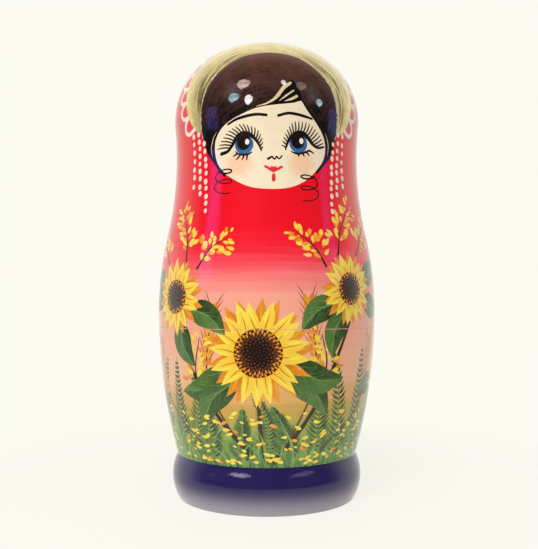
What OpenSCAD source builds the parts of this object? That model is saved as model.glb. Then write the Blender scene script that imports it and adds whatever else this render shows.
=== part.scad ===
// Matryoshka: a set of nesting dolls turned from linden wood.
// Every doll is the same turned shape at its own scale, and stands on the floor inside the next
// larger one. The larger dolls are hollow halves that push together at the waist on a spigot, and
// the smallest doll is solid. The sizes are those of the largest doll. +Z is up, the origin is at
// the middle of its underside, and the painted faces look along -Y.

/* [Outline] */
// Height from the underside of the plinth to the top of the head
doll_h = 250; // [205:1:320]
// Radius at the widest part of the belly
belly_r = 60.8; // [51:0.1:75]
// Height of the widest part of the belly
belly_z = 103; // [85:1:122]
// Depth by which the neck draws in from the belly
neck_in = 9.9; // [7.5:0.1:12]
// Width by which the head swells out from the neck
head_out = 0.9; // [0.3:0.1:2.5]
// Share of the curve from the belly to the neck that is hollow, while the rest bulges
hollow_share = 0.513; // [0.4:0.001:0.62]
// Radius of the curve from the side of the head up to its crown
head_curve = 40.5; // [33:0.5:48]
// Radius of the flatter curve across the top of the head
crown_curve = 100; // [80:1:130]

/* [Plinth] */
// Height of the plinth
plinth_h = 24.5; // [15:0.5:30]
// Depth by which the body draws in from the belly to the plinth
foot_in = 10.4; // [8:0.1:13]
// Width by which the plinth's side stands out from the body above it
plinth_out = 2.6; // [1.5:0.1:4]
// Radius of the bulge of the plinth's side
plinth_bulge = 25; // [18:0.5:40]

/* [Hollow] */
// Thickness of the turned wall
wall = 8; // [6:0.1:10]
// Thickness of the wood above the hollow of the head
crown = 10; // [8:0.5:14]
// Height of the floor that the next doll stands on above the top of the plinth
floor_rise = 3.5; // [2:0.5:8]
// Clearance between a doll's belly and the wall around it
belly_gap = 3.5; // [1:0.1:6]
// Least clearance around a doll's head, plinth and crown
nest_gap = 0.8; // [0.4:0.1:3]
// Film of air and lacquer under a doll that stands inside another
rest_gap = 0.02; // [0.01:0.01:0.2]

/* [Waist] */
// Depth of the seam between the halves below the widest part of the belly
seam_drop = 9; // [4:0.5:20]
// Height of the lower half's spigot above the seam
spigot_h = 10; // [5:0.5:14]
// Thickness of the spigot
spigot_wall = 3.8; // [2:0.1:4.6]
// Radial clearance of the spigot in its socket, the same on every doll
fit_gap = 0.08; // [0.03:0.01:0.1]
// Gap above the spigot in its socket
end_gap = 0.6; // [0.3:0.1:1.5]
// Bevel on the rims at the seam and on the spigot's leading edge
bevel = 0.4; // [0.2:0.1:1]

/* [Set] */
// Number of dolls, of which the last is solid
doll_count = 10; // [2:1:10]

/* [Hidden] */
$fn = 180;

// Depth by which neighbouring arcs of the outline cross, so that they meet in one clean line
arc_cross = 0.005;

// Sum of the radii of two touching arcs that lead from one upright side to another, over a rise and a step
function arc_through(rise, step) = (rise * rise + step * step) / (2 * step);

// Radii of the neck, the head, the foot and the plinth
neck_r = belly_r - neck_in;
head_r = neck_r + head_out;
foot_r = belly_r - foot_in;
plinth_r = foot_r + plinth_out;

// Height of the widest part of the head, whose curve runs up into the crown's
crown_z = doll_h - crown_curve;
head_z = crown_z + sqrt(pow(crown_curve - head_curve, 2) - pow(head_r - head_curve, 2));

// Rise from the belly to the neck at which one hollow curve touches both the belly's curve and the head's:
// the smaller root of a quadratic equation
head_rise = head_z - belly_z;
hollow_step = hollow_share * head_out / neck_in;
swell = (2 * head_curve - head_out) * head_out + hollow_step * neck_in * neck_in;
neck_rise = (head_rise - sqrt(head_rise * head_rise - (1 - hollow_step) * (head_rise * head_rise - swell)))
    / (1 - hollow_step);
neck_z = belly_z + neck_rise;

// Radii of the hollow curve and of the belly's curves above and below its widest part
neck_curve = hollow_share * arc_through(neck_rise, neck_in);
high_curve = arc_through(neck_rise, neck_in) - neck_curve;
low_curve = arc_through(belly_z - plinth_h, foot_in);

// Centres of the arcs of the outline
crown_centre = [0, crown_z];
head_centre = [head_r - head_curve, head_z];
neck_centre = [neck_r + neck_curve, neck_z];
high_centre = [belly_r - high_curve, belly_z];
low_centre = [belly_r - low_curve, belly_z];
plinth_centre = [plinth_r - plinth_bulge, plinth_h / 2];

// Point at a distance from one centre, away from or towards another
function along(from, to, distance) = from + distance * (to - from) / norm(to - from);

// Points where the arcs touch, with the outline drawn in by an inset
function belly_touch(inset) = along(high_centre, neck_centre, high_curve - inset);
function head_touch(inset) = along(head_centre, neck_centre, head_curve - inset);
function crown_touch(inset) = along(crown_centre, head_centre, crown_curve - inset);

// Radius of the belly at a height, drawn in by an inset
function belly_at(z, inset) = let (curve = z < belly_z ? low_curve : high_curve)
    belly_r - curve + sqrt(pow(curve - inset, 2) - pow(z - belly_z, 2));

// Height of the floor, and sizes at the waist: the mouth is the straight bore through the spigot
floor_h = plinth_h + floor_rise;
seam_z = belly_z - seam_drop;
seam_r = belly_at(seam_z, 0);
mouth_r = belly_at(seam_z - spigot_h, wall);
spigot_r = mouth_r + spigot_wall;
spigot_top = seam_z + spigot_h;
socket_top = spigot_top + end_gap;
hollow_top = doll_h - crown;

// Size of each doll next to the one around it: the largest whose belly, head, plinth and crown clear it
plinth_room = belly_at(floor_h + plinth_h / 3, wall);
nest_ratio = min(
    (belly_r - wall - belly_gap) / belly_r,
    (mouth_r - nest_gap) / belly_r,
    (neck_r - wall - nest_gap) / head_r,
    (plinth_room - nest_gap) / plinth_r,
    (hollow_top - floor_h - nest_gap) / doll_h
);

// Scale of a doll, and the height of its underside
function size_of(doll) = pow(nest_ratio, doll - 1);
function base_of(doll) = doll == 1 ? 0 : base_of(doll - 1) + floor_h * size_of(doll - 1) + rest_gap;

// Names of the pieces
function bottom_name(doll) = str("doll_", doll, "_bottom_half");
function top_name(doll) = str("doll_", doll, "_top_half");
solid_name = str("doll_", doll_count, "_solid");

// Rectangle beside the axis between two heights
module slab(from_z, to_z, width = 2 * belly_r)
    polygon([[0, from_z], [width, from_z], [width, to_z], [0, to_z]]);

// Disc of the half section whose rim is one arc of the outline
module disc(centre, curve)
    translate(centre) circle(curve);

// Half section of the body from the plinth to the crown, drawn in by an inset
module body_section(inset) {
    intersection() {
        disc(low_centre, low_curve - inset);
        slab(plinth_h, belly_z);
    }
    difference() {
        union() {
            intersection() {
                disc(high_centre, high_curve - inset);
                slab(belly_z, neck_z);
            }
            polygon([[0, belly_z], belly_touch(inset), head_touch(inset), [0, head_z]]);
            head_section(inset);
        }
        disc(neck_centre, neck_curve + inset + arc_cross);
    }
}

// Half section of the head, whose side arc runs up into the flatter arc of the crown
module head_section(inset) {
    intersection() {
        disc(crown_centre, crown_curve - inset);
        slab(neck_z, doll_h);
        union() {
            disc(head_centre, head_curve - inset + arc_cross);
            slab(head_z, doll_h, crown_touch(inset)[0]);
        }
    }
}

// Half section of the plinth, with its bulging side
module plinth_section() {
    intersection() {
        disc(plinth_centre, plinth_bulge);
        slab(0, plinth_h);
    }
    slab(0, plinth_h, plinth_centre[0]);
}

// Half section of the whole doll as it looks from outside
module doll_section() {
    plinth_section();
    body_section(0);
}

// Half section of the hollow between two heights, no wider than a given radius
module hollow_section(from_z, to_z, width = 2 * belly_r) {
    intersection() {
        body_section(wall);
        slab(from_z, to_z, width);
    }
}

// Half section of the spigot and of the wood behind it
module spigot_section()
    polygon([
        [0, seam_z - spigot_h], [spigot_r, seam_z - spigot_h], [spigot_r, spigot_top - bevel],
        [spigot_r - bevel, spigot_top], [0, spigot_top]
    ]);

// Bevel that is cut off the rim at the seam, from the top half with up = 1, the bottom with up = -1
module seam_bevel(up)
    polygon([
        [seam_r - bevel, seam_z], [seam_r + bevel, seam_z], [seam_r + bevel, seam_z + 2 * bevel * up]
    ]);

// Turns a half section about the axis, at a doll's scale and height
module turn(doll)
    translate([0, 0, base_of(doll)])
        scale(size_of(doll))
            rotate_extrude()
                children();

// Lower half: plinth, floor, wall and the spigot that the top half pushes onto
module bottom_half(doll)
    color("darkseagreen")
        turn(doll)
            difference() {
                union() {
                    intersection() {
                        doll_section();
                        slab(0, seam_z);
                    }
                    spigot_section();
                }
                hollow_section(floor_h, socket_top, mouth_r);
                seam_bevel(-1);
            }

// Upper half: wall with the socket for the spigot, neck and hollow head
module top_half(doll)
    color("crimson")
        turn(doll)
            difference() {
                intersection() {
                    doll_section();
                    slab(seam_z, doll_h);
                }
                slab(seam_z, socket_top, spigot_r + fit_gap / size_of(doll));
                hollow_section(socket_top, hollow_top);
                seam_bevel(1);
            }

// Smallest doll, in one piece
module solid_doll(doll)
    color("crimson")
        turn(doll)
            doll_section();

for (doll = [1 : doll_count - 1]) {
    bottom_half(doll);
    top_half(doll);
}
solid_doll(doll_count);
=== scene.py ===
import math
import random
from collections import namedtuple

import bpy
import numpy as np
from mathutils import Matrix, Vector
from mathutils.geometry import delaunay_2d_cdt
from mathutils.kdtree import KDTree


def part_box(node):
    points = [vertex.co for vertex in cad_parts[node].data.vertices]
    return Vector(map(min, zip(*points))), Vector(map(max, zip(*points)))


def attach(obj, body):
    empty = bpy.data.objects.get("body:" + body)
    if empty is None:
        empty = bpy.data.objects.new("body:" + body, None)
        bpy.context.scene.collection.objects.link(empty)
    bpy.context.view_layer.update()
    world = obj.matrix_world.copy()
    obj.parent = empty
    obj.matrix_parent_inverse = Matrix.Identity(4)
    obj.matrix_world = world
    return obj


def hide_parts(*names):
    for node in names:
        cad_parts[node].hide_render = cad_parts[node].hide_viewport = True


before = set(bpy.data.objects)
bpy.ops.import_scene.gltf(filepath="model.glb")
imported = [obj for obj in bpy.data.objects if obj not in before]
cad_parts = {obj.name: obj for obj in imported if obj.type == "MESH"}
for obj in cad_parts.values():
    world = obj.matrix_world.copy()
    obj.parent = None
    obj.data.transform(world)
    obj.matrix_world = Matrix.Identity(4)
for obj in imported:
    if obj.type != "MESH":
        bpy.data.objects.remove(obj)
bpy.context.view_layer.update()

MM = 0.001

# Outline of the largest doll
DOLL_H = 250.0
BELLY_R = 60.8
BELLY_Z = 103.0
NECK_IN = 9.9
HEAD_OUT = 0.9
HOLLOW_SHARE = 0.513
HEAD_CURVE = 40.5
CROWN_CURVE = 100.0
PLINTH_H = 24.5
FOOT_IN = 10.4
PLINTH_OUT = 2.6
PLINTH_BULGE = 25.0

# Hollow and waist
WALL = 8.0
CROWN = 10.0
FLOOR_RISE = 3.5
SEAM_DROP = 9.0
SPIGOT_H = 10.0
SPIGOT_WALL = 3.8
FIT_GAP = 0.08
END_GAP = 0.6
BEVEL = 0.4
RIM = 0.15


def arc_through(rise, step):
    """Sum of the radii of two touching arcs that lead from one upright side to another."""
    return (rise ** 2 + step ** 2) / (2 * step)


NECK_R = BELLY_R - NECK_IN
HEAD_R = NECK_R + HEAD_OUT
FOOT_R = BELLY_R - FOOT_IN
PLINTH_R = FOOT_R + PLINTH_OUT
CROWN_Z = DOLL_H - CROWN_CURVE
HEAD_Z = CROWN_Z + math.sqrt((CROWN_CURVE - HEAD_CURVE) ** 2 - (HEAD_R - HEAD_CURVE) ** 2)

# Rise from the belly to the neck at which one hollow arc touches the belly's arc and the head's
HEAD_RISE = HEAD_Z - BELLY_Z
HOLLOW_STEP = HOLLOW_SHARE * HEAD_OUT / NECK_IN
SWELL = (2 * HEAD_CURVE - HEAD_OUT) * HEAD_OUT + HOLLOW_STEP * NECK_IN ** 2
NECK_RISE = HEAD_RISE - math.sqrt(HEAD_RISE ** 2 - (1 - HOLLOW_STEP) * (HEAD_RISE ** 2 - SWELL))
NECK_RISE /= 1 - HOLLOW_STEP
NECK_CURVE = HOLLOW_SHARE * arc_through(NECK_RISE, NECK_IN)
HIGH_CURVE = arc_through(NECK_RISE, NECK_IN) - NECK_CURVE
LOW_CURVE = arc_through(BELLY_Z - PLINTH_H, FOOT_IN)

# Centres of the arcs, as radius and height
CROWN_CENTRE = np.array([0, CROWN_Z])
HEAD_CENTRE = np.array([HEAD_R - HEAD_CURVE, HEAD_Z])
NECK_CENTRE = np.array([NECK_R + NECK_CURVE, BELLY_Z + NECK_RISE])
HIGH_CENTRE = np.array([BELLY_R - HIGH_CURVE, BELLY_Z])
LOW_CENTRE = np.array([BELLY_R - LOW_CURVE, BELLY_Z])
PLINTH_CENTRE = np.array([PLINTH_R - PLINTH_BULGE, PLINTH_H / 2])


def beyond(start, towards, distance):
    """Point at a distance from one centre, on the line through another."""
    way = towards - start
    return start + distance * way / np.linalg.norm(way)


def belly_touch(inset):
    return beyond(HIGH_CENTRE, NECK_CENTRE, HIGH_CURVE - inset)


def head_touch(inset):
    return beyond(HEAD_CENTRE, NECK_CENTRE, HEAD_CURVE - inset)


def crown_touch(inset):
    return beyond(CROWN_CENTRE, HEAD_CENTRE, CROWN_CURVE - inset)


def belly_at(z, inset=0.0):
    """Radius of the belly at a height, drawn in by an inset."""
    curve = LOW_CURVE if z < BELLY_Z else HIGH_CURVE
    return BELLY_R - curve + math.sqrt((curve - inset) ** 2 - (z - BELLY_Z) ** 2)


FLOOR_H = PLINTH_H + FLOOR_RISE
PLINTH_EDGE = PLINTH_CENTRE[0] + math.sqrt(PLINTH_BULGE ** 2 - (PLINTH_H / 2) ** 2)
SEAM_Z = BELLY_Z - SEAM_DROP
SEAM_R = belly_at(SEAM_Z)
MOUTH_R = belly_at(SEAM_Z - SPIGOT_H, WALL)
SPIGOT_R = MOUTH_R + SPIGOT_WALL
SPIGOT_TOP = SEAM_Z + SPIGOT_H
SOCKET_R = SPIGOT_R + FIT_GAP
SOCKET_TOP = SPIGOT_TOP + END_GAP
HOLLOW_TOP = DOLL_H - CROWN
HOLLOW_R = HEAD_CENTRE[0] + math.sqrt((HEAD_CURVE - WALL) ** 2 - (HOLLOW_TOP - HEAD_Z) ** 2)


class Run:
    """One line or arc of an outline, walked with the wood on the right."""

    def __init__(self, start, finish, end, centre=None):
        self.finish = finish
        self.start = np.array(start, float)
        self.end = np.array(end, float)
        self.centre = centre
        self.length = np.linalg.norm(self.end - self.start)
        if centre is not None:
            first = self.start - centre
            last = self.end - centre
            self.radius = np.linalg.norm(first)
            self.angle = math.atan2(first[1], first[0])
            turn = math.atan2(last[1], last[0]) - self.angle
            self.turn = (turn + math.pi) % (2 * math.pi) - math.pi
            self.length = self.radius * abs(self.turn)

    def at(self, share):
        """Points and outward normals, as radius and height, at shares of the run."""
        share = np.asarray(share, float)
        if self.centre is None:
            way = (self.end - self.start) / self.length
            points = self.start + share[:, None] * (self.end - self.start)
            return points, np.tile([-way[1], way[0]], (len(share), 1))
        angle = self.angle + share * self.turn
        ray = np.column_stack([np.cos(angle), np.sin(angle)])
        return self.centre + self.radius * ray, ray * -np.sign(self.turn)


def walk(start, *steps):
    """Runs from a start through steps that each have a finish, an end and, for an arc, its centre."""
    runs = []
    for step in steps:
        runs.append(Run(start, *step))
        start = step[1]
    return runs


def upper_side(low):
    """Steps from the crown down the painted side to a height just below the belly."""
    return [
        ("ground", crown_touch(0), CROWN_CENTRE),
        ("ground", head_touch(0), HEAD_CENTRE),
        ("ground", belly_touch(0), NECK_CENTRE),
        ("ground", (BELLY_R, BELLY_Z), HIGH_CENTRE),
        ("ground", (belly_at(low), low), LOW_CENTRE),
    ]


# Steps down the body to the plinth, round its bulge and across the underside
LOWER_SIDE = [
    ("ground", (FOOT_R, PLINTH_H), LOW_CENTRE),
    ("navy", (PLINTH_EDGE, PLINTH_H)),
    ("navy", (PLINTH_EDGE, 0), PLINTH_CENTRE),
    ("wood", (0, 0)),
]

SOLID_RUNS = walk((0, DOLL_H), *upper_side(SEAM_Z), *LOWER_SIDE)

TOP_RUNS = walk(
    (0, DOLL_H),
    *upper_side(SEAM_Z + RIM),
    ("seam", (SEAM_R - RIM, SEAM_Z)),
    ("wood", (SOCKET_R, SEAM_Z)),
    ("wood", (SOCKET_R, SOCKET_TOP)),
    ("wood", (belly_at(SOCKET_TOP, WALL), SOCKET_TOP)),
    ("wood", belly_touch(WALL), HIGH_CENTRE),
    ("wood", head_touch(WALL), NECK_CENTRE),
    ("wood", (HOLLOW_R, HOLLOW_TOP), HEAD_CENTRE),
    ("wood", (0, HOLLOW_TOP)),
)

BOTTOM_RUNS = walk(
    (0, FLOOR_H),
    ("wood", (belly_at(FLOOR_H, WALL), FLOOR_H)),
    ("wood", (MOUTH_R, SEAM_Z - SPIGOT_H), LOW_CENTRE),
    ("wood", (MOUTH_R, SPIGOT_TOP)),
    ("wood", (SPIGOT_R - BEVEL, SPIGOT_TOP)),
    ("wood", (SPIGOT_R, SPIGOT_TOP - BEVEL)),
    ("wood", (SPIGOT_R, SEAM_Z)),
    ("wood", (SEAM_R - RIM, SEAM_Z)),
    ("seam", (belly_at(SEAM_Z - RIM), SEAM_Z - RIM)),
    *LOWER_SIDE,
)


# The unrolled skin: u goes round the doll at the head's radius, and "up" is the way along the surface
# above the edge of the underside

HALF_TURN = math.pi * HEAD_R
WOOD_SHARE = 0.3
BRUSHED = ("ground", "navy")


class Skin:
    """Surface of one piece as a flat sheet, from where its outline leaves the axis to where it returns."""

    def __init__(self, runs, top):
        self.runs = runs
        self.lengths = np.array([run.length for run in runs])
        self.ups = top - np.concatenate([[0], np.cumsum(self.lengths)])
        painted = [k for k, run in enumerate(runs) if run.finish in BRUSHED]
        self.high = self.ups[painted[0]]
        self.low = self.ups[painted[-1] + 1]
        weights = self.lengths * [WOOD_SHARE if run.finish == "wood" else 1 for run in runs]
        self.bands = 1 - np.concatenate([[0], np.cumsum(weights)]) / weights.sum()

    def run_at(self, up):
        """Number of the run that holds each place up the sheet."""
        found = np.searchsorted(-self.ups, -np.asarray(up), side="right") - 1
        return np.clip(found, 0, len(self.runs) - 1)

    def outline(self, up, number):
        """Points and normals of the outline at places on the runs with these numbers."""
        points = np.zeros((len(up), 2))
        normals = np.zeros((len(up), 2))
        for k, run in enumerate(self.runs):
            here = number == k
            share = np.clip((self.ups[k] - up[here]) / run.length, 0, 1)
            points[here], normals[here] = run.at(share)
        return points, normals

    def grid(self, fine, coarse):
        """Rows of points for the triangles, and edges along the rows where two runs meet."""
        points = []
        edges = []
        for k, run in enumerate(self.runs):
            pitch = coarse if run.finish == "wood" else fine
            count = max(1, math.ceil(run.length / pitch))
            last = 1 if k + 1 == len(self.runs) else 0
            for row in range(count + last):
                up = self.ups[k] - run.length * row / count
                radius = run.at([row / count])[0][0][0]
                around = max(16, math.ceil(2 * math.pi * radius / pitch))
                places = np.linspace(-HALF_TURN, HALF_TURN, around + 1)
                if row % 2:
                    places[1:] -= HALF_TURN / around
                    places = np.append(places, HALF_TURN)
                if row == 0 or row == count:
                    first = len(points)
                    edges += [(first + n, first + n + 1) for n in range(len(places) - 1)]
                points += [(u, up) for u in places]
        return points, edges


OUTER_UP = sum(run.length for run in SOLID_RUNS[:-1])
SOLID_SKIN = Skin(SOLID_RUNS, OUTER_UP)
TOP_SKIN = Skin(TOP_RUNS, OUTER_UP)
BOTTOM_SKIN = Skin(BOTTOM_RUNS, sum(run.length for run in BOTTOM_RUNS[:-1]))

TABLE_UPS = np.linspace(0, OUTER_UP, 400)
TABLE_RADII = SOLID_SKIN.outline(TABLE_UPS, SOLID_SKIN.run_at(TABLE_UPS))[0][:, 0]


def radius_at(up):
    """Radius of the doll at a place up its painted side."""
    return np.interp(up, TABLE_UPS, TABLE_RADII)


def on_skin(points, angle, up, turn=0.0, size=1.0):
    """Places on the sheet of points that are drawn in true lengths round a spot on the doll."""
    x, y = np.asarray(points, float).T * size
    across = x * math.cos(turn) - y * math.sin(turn)
    ups = up + x * math.sin(turn) + y * math.cos(turn)
    return np.column_stack([HEAD_R * (angle + across / radius_at(ups)), ups])


# Brush strokes

Stroke = namedtuple("Stroke", "pigment outline tones axis")
CHUNK = 8


def smooth(points, closed=False, per=4):
    """Curve through the points, with a number of steps between each two."""
    p = np.array(points, float)
    if closed:
        p = np.vstack([p[-1:], p, p[:2]])
    else:
        p = np.vstack([2 * p[0] - p[1], p, 2 * p[-1] - p[-2]])
    t = np.arange(per)[:, None] / per
    pieces = []
    for a, b, c, d in zip(p, p[1:], p[2:], p[3:]):
        bend = 2 * a - 5 * b + 4 * c - d
        twist = 3 * b - a - 3 * c + d
        pieces.append(b + (c - a) * t / 2 + bend * t ** 2 / 2 + twist * t ** 3 / 2)
    if not closed:
        pieces.append(p[-2:-1])
    return np.vstack(pieces)


def oval(centre, half_width, half_height, count=14):
    turn = 2 * math.pi * np.arange(count) / count
    return np.array(centre) + np.column_stack([half_width * np.cos(turn), half_height * np.sin(turn)])


def sides_of(curve):
    """Unit vectors along a curve and to its left."""
    way = np.gradient(curve, axis=0)
    way /= np.linalg.norm(way, axis=1)[:, None]
    return way, np.column_stack([-way[:, 1], way[:, 0]])


def part_of(curve, start, end, count=8):
    """Stretch of a curve between two shares of its length."""
    steps = np.linalg.norm(np.diff(curve, axis=0), axis=1)
    lengths = np.concatenate([[0], np.cumsum(steps)])
    places = np.linspace(start, end, count) * lengths[-1]
    return np.column_stack([np.interp(places, lengths, axis) for axis in curve.T])


def along(curve, share):
    """Point of a curve at a share of its length, with the unit vectors along it and to its left."""
    near = part_of(curve, max(share - 0.02, 0), min(share + 0.02, 1), 3)
    way = (near[2] - near[0]) / np.linalg.norm(near[2] - near[0])
    return near[1], way, np.array([-way[1], way[0]])


def cap(spot, half, way, left):
    """Rounded end of a brush line."""
    turns = (-0.8, 0, 0.8) if half > 0.35 else (0,)
    return [spot + half * (math.cos(turn) * way + math.sin(turn) * left) for turn in turns]


def mirrored(points):
    return np.array(points, float) * (-1, 1)


class Brush:
    """Strokes of paint in the order in which they are laid on."""

    def __init__(self, seed):
        self.chance = random.Random(seed)
        self.strokes = []

    def patch(self, pigment, outline, tone=0.5, to=None, axis=None):
        """A filled outline, whose tone may change along an axis."""
        outline = np.asarray(outline, float)
        x, y = outline.T
        if np.dot(x, np.roll(y, -1)) < np.dot(y, np.roll(x, -1)):
            outline = outline[::-1]
        shade = self.chance.uniform(-0.07, 0.07)
        tones = (tone + shade, (tone if to is None else to) + shade)
        if axis is None:
            axis = (outline[0], outline[len(outline) // 2])
        self.strokes.append(Stroke(pigment, outline, tones, np.array(axis, float)))

    def line(self, pigment, points, widths, tone=0.5, to=None, per=4):
        """A brush line through points, with widths spread evenly along it."""
        curve = smooth(points, per=per)
        share = np.linspace(0, 1, len(curve))
        half = np.interp(share, np.linspace(0, 1, len(widths)), widths)[:, None] / 2
        way, left = sides_of(curve)
        tones = np.interp(share, [0, 1], [tone, tone if to is None else to])
        last = len(curve) - 1
        for first in range(0, last, CHUNK):
            end = min(first + CHUNK, last)
            part = slice(first, end + 1)
            there = (curve - half * left)[part]
            back = (curve + half * left)[part][::-1]
            tip = cap(curve[last], half[last, 0], way[last], left[last]) if end == last else []
            tail = cap(curve[0], half[0, 0], -way[0], -left[0]) if first == 0 else []
            outline = np.vstack([there, *tip, back, *tail])
            self.patch(pigment, outline, tones[first], tones[end], (curve[first], curve[end]))

    def dab(self, pigment, spot, length, width, turn, tone=0.5, to=None):
        """One touch of a loaded brush, round at its far end and drawn out where it started."""
        way = np.array([math.cos(turn), math.sin(turn)]) * length
        start = np.array(spot, float) - way / 2
        points = [start, start + 0.5 * way, start + 0.86 * way]
        self.line(pigment, points, (0.25 * width, 0.8 * width, width, 0.75 * width), tone, to, per=2)

    def place(self, motif, angle, up, turn=0.0, size=1.0):
        """Lay on a motif that was drawn in true lengths round its own origin."""
        for stroke in motif.strokes:
            outline = on_skin(stroke.outline, angle, up, turn, size)
            axis = on_skin(stroke.axis, angle, up, turn, size)
            self.strokes.append(Stroke(stroke.pigment, outline, stroke.tones, axis))


# Head: places are across from the middle of the face and up the sheet

FACE_TURN = 2.6
HAIR_BACK = -0.8
HAIR_EDGE = [(0, 241.2), (14, 239.3), (22, 235.5), (28, 230.5), (32.8, 225.3), (35.5, 220), (37.6, 214),
             (39, 206), (38.7, 198), (35.2, 187.7), (29.3, 180), (25.8, 177)]
GOLD_EDGE = [(0, 257.5), (24, 256), (41, 250.5), (50.5, 242), (54.8, 232), (54.2, 223), (52.4, 214.5),
             (49.6, 206.5), (44.6, 200), (39, 197.5)]
HAIR_UPS = (241, 197)
# Tones of the hair from its top to its lower edge: the lighter top is a painted sheen, a reflection of the
# bright space above
HAIR_TONES_WITH_PAINTED_SHEEN = (0.66, -0.06)
# Where along the hair's edge the painted highlight runs, and how many dashes it has
PAINTED_GLEAM_START = 0.36
PAINTED_GLEAM_END = 0.74
PAINTED_GLEAMS = 16
PARTING = (14.7, 212.4)
FRINGE = [PARTING, (11, 210.5), (4, 210), (-5, 208.5), (-14, 205.5), (-24, 200.8), (-29.5, 195),
          (-31, 188.5), (-29, 181), (-24, 175.2)]
TEMPLE = [PARTING, (19, 206.8), (25, 200.6), (29, 195), (30.2, 189), (28.5, 183), (23.5, 177)]
CHIN = [(-24, 175.2), (-17.5, 171.2), (-10, 168), (0, 167), (9, 168), (17, 171.6), (23.5, 177)]

GOLD_STREAKS = 60
LACE_PITCH = 9.2
LACE_DEPTH = 6.4
LACE_WIDTH = 2.1
LACE_START = 0.035

# Strings of beads: where each starts and ends on the right, and how many beads it has. They are turned
# less to the side than the face is
BEADS_BACK = -1.2
BEADS = [((36.8, 192.4), (33.2, 157), 10), ((40.9, 197.6), (38.4, 166.5), 9),
         ((44.9, 197.4), (43.5, 171), 7)]


def paint_hair(brush, fineness):
    hair = smooth(HAIR_EDGE)
    around = np.vstack([mirrored(hair)[::-1], hair[1:]]) + (HAIR_BACK, 0)
    # The hair lightens towards its top in a painted sheen
    brush.patch("hair", around, *HAIR_TONES_WITH_PAINTED_SHEEN, ((0, HAIR_UPS[0]), (0, HAIR_UPS[1])))
    fringe = smooth(FRINGE)
    temple = smooth(TEMPLE)
    left = smooth([(8, 240.8), *mirrored(HAIR_EDGE[1:])])
    right = smooth([(10, 240.4), *HAIR_EDGE[1:]])
    for inner, outer, count in ((fringe, left, 34), (temple, right, 26)):
        strands = int(count * fineness)
        for k in range(strands):
            share = (k + 0.5) / strands
            start = brush.chance.uniform(0.02, 0.45)
            end = start + brush.chance.uniform(0.25, 0.5)
            near = part_of(inner, start, end)
            far = part_of(outer, start, end)
            strand = near + (far - near) * (0.04 + 0.92 * share)
            swing = brush.chance.choice((-0.08, -0.05, 0.04))
            # Strands follow the same painted sheen, lighter high up
            tones = [np.interp(up, HAIR_UPS[::-1], HAIR_TONES_WITH_PAINTED_SHEEN[::-1]) + swing for up in strand[[0, -1], 1]]
            width = brush.chance.uniform(0.5, 1.3)
            brush.line("hair", strand, (0.1, width, 0.1), *tones, per=2)

    # Broken painted highlight where the hair meets the band: pale dashes for light caught along its edge
    gleams = int(PAINTED_GLEAMS * fineness)
    for side in (-1, 1):
        for k in range(gleams):
            share = (k + brush.chance.uniform(-0.8, 0.8)) / gleams
            start = PAINTED_GLEAM_START + (PAINTED_GLEAM_END - PAINTED_GLEAM_START) * share
            gleam = part_of(hair, start, start + brush.chance.uniform(0.008, 0.045), 4)
            gleam = gleam * (side, 1) + (HAIR_BACK, 0)
            width = brush.chance.uniform(0.4, 0.75)
            brush.line("painted_highlight", gleam, (0.1, width, 0.1), brush.chance.uniform(0.3, 0.9), per=2)


def paint_gold(brush, fineness):
    """Gold headband round the hair, darker near the hair in a painted reflection, with an edging of lace."""
    gold = smooth(GOLD_EDGE)
    hair = smooth(HAIR_EDGE)
    band = np.vstack([mirrored(gold)[::-1], gold[1:]])
    brush.patch("gold", band, 0.7)
    count = int(GOLD_STREAKS * fineness)
    for side in (-1, 1):
        for k in range(count):
            share = (k + 0.5) / count
            start = brush.chance.uniform(0.0, 0.7)
            end = start + brush.chance.uniform(0.15, 0.3)
            near = part_of(hair, 0.75 * start, 0.75 * end)
            far = part_of(gold, start, end)
            streak = (near + (far - near) * (0.06 + 0.86 * share)) * (side, 1)
            # Painted dark reflection: the streaks grow darker towards the hair, where the metallic gold
            # would mirror the dim space in front
            depth = (1 - share) * min(1, 2.5 * start + 0.2)
            tone = 0.95 - 0.95 * depth + brush.chance.uniform(-0.1, 0.1)
            brush.line("gold", streak, (0.1, brush.chance.uniform(0.8, 2.4), 0.1), tone, per=2)
    loops = int(np.linalg.norm(np.diff(band, axis=0), axis=1).sum() / LACE_PITCH)
    path = part_of(band, LACE_START, 1 - LACE_START, loops * 8 + 1)
    way, left = sides_of(path)
    swing = np.sin(np.pi * (np.arange(len(path)) % 8) / 8) ** 0.5
    lace = path + left * (LACE_DEPTH * swing)[:, None]
    for first in range(0, len(lace) - 1, 8):
        brush.line("white", lace[first:first + 9], (LACE_WIDTH,) * 2, 0.75, per=2)


def paint_eye(brush, iris, lid, lid_widths, roots, tips, lower, lower_lashes, fineness):
    iris = np.array(iris)
    upper = smooth(lid)
    reach = smooth(tips)
    lashes = max(5, int(LASHES * fineness))
    for k in range(lashes):
        share = k / (lashes - 1)
        root = part_of(upper, roots[0] + (roots[1] - roots[0]) * share, 1, 2)[0]
        tip = part_of(reach, share, 1, 2)[0]
        bend = (root + tip) / 2 + np.array([tip[1] - root[1], root[0] - tip[0]]) * 0.05
        brush.line("black", iris + [root, bend, tip], (0.85, 0.8, 0.55), 0.3, 0.55, per=2)
    brush.patch("white", iris + oval((0, -0.5), 5.0, 5.0, 28), 0.7)
    brush.patch("iris", iris + oval((0, 0), 4.9, 4.9, 28), 0.35, 0.7, (iris + (0, 3), iris + (0, -5)))
    brush.patch("black", iris + oval((-0.3, 1.4), 3.6, 4.2, 26), 0.05)
    brush.line("black", iris + lid, lid_widths, 0.08)
    brush.patch("white", iris + oval((1.6, 1.3), 1.15, 1.45, 16), 0.95)
    brush.line("black", iris + lower, (0.6, 1.1, 1.1, 0.8), 0.15)
    for root, tip in np.array(lower_lashes):
        brush.line("black", iris + [root, (root + tip) / 2 + (0.25, 0.1), tip], (1.0, 0.95, 0.6), 0.2, per=2)


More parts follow.
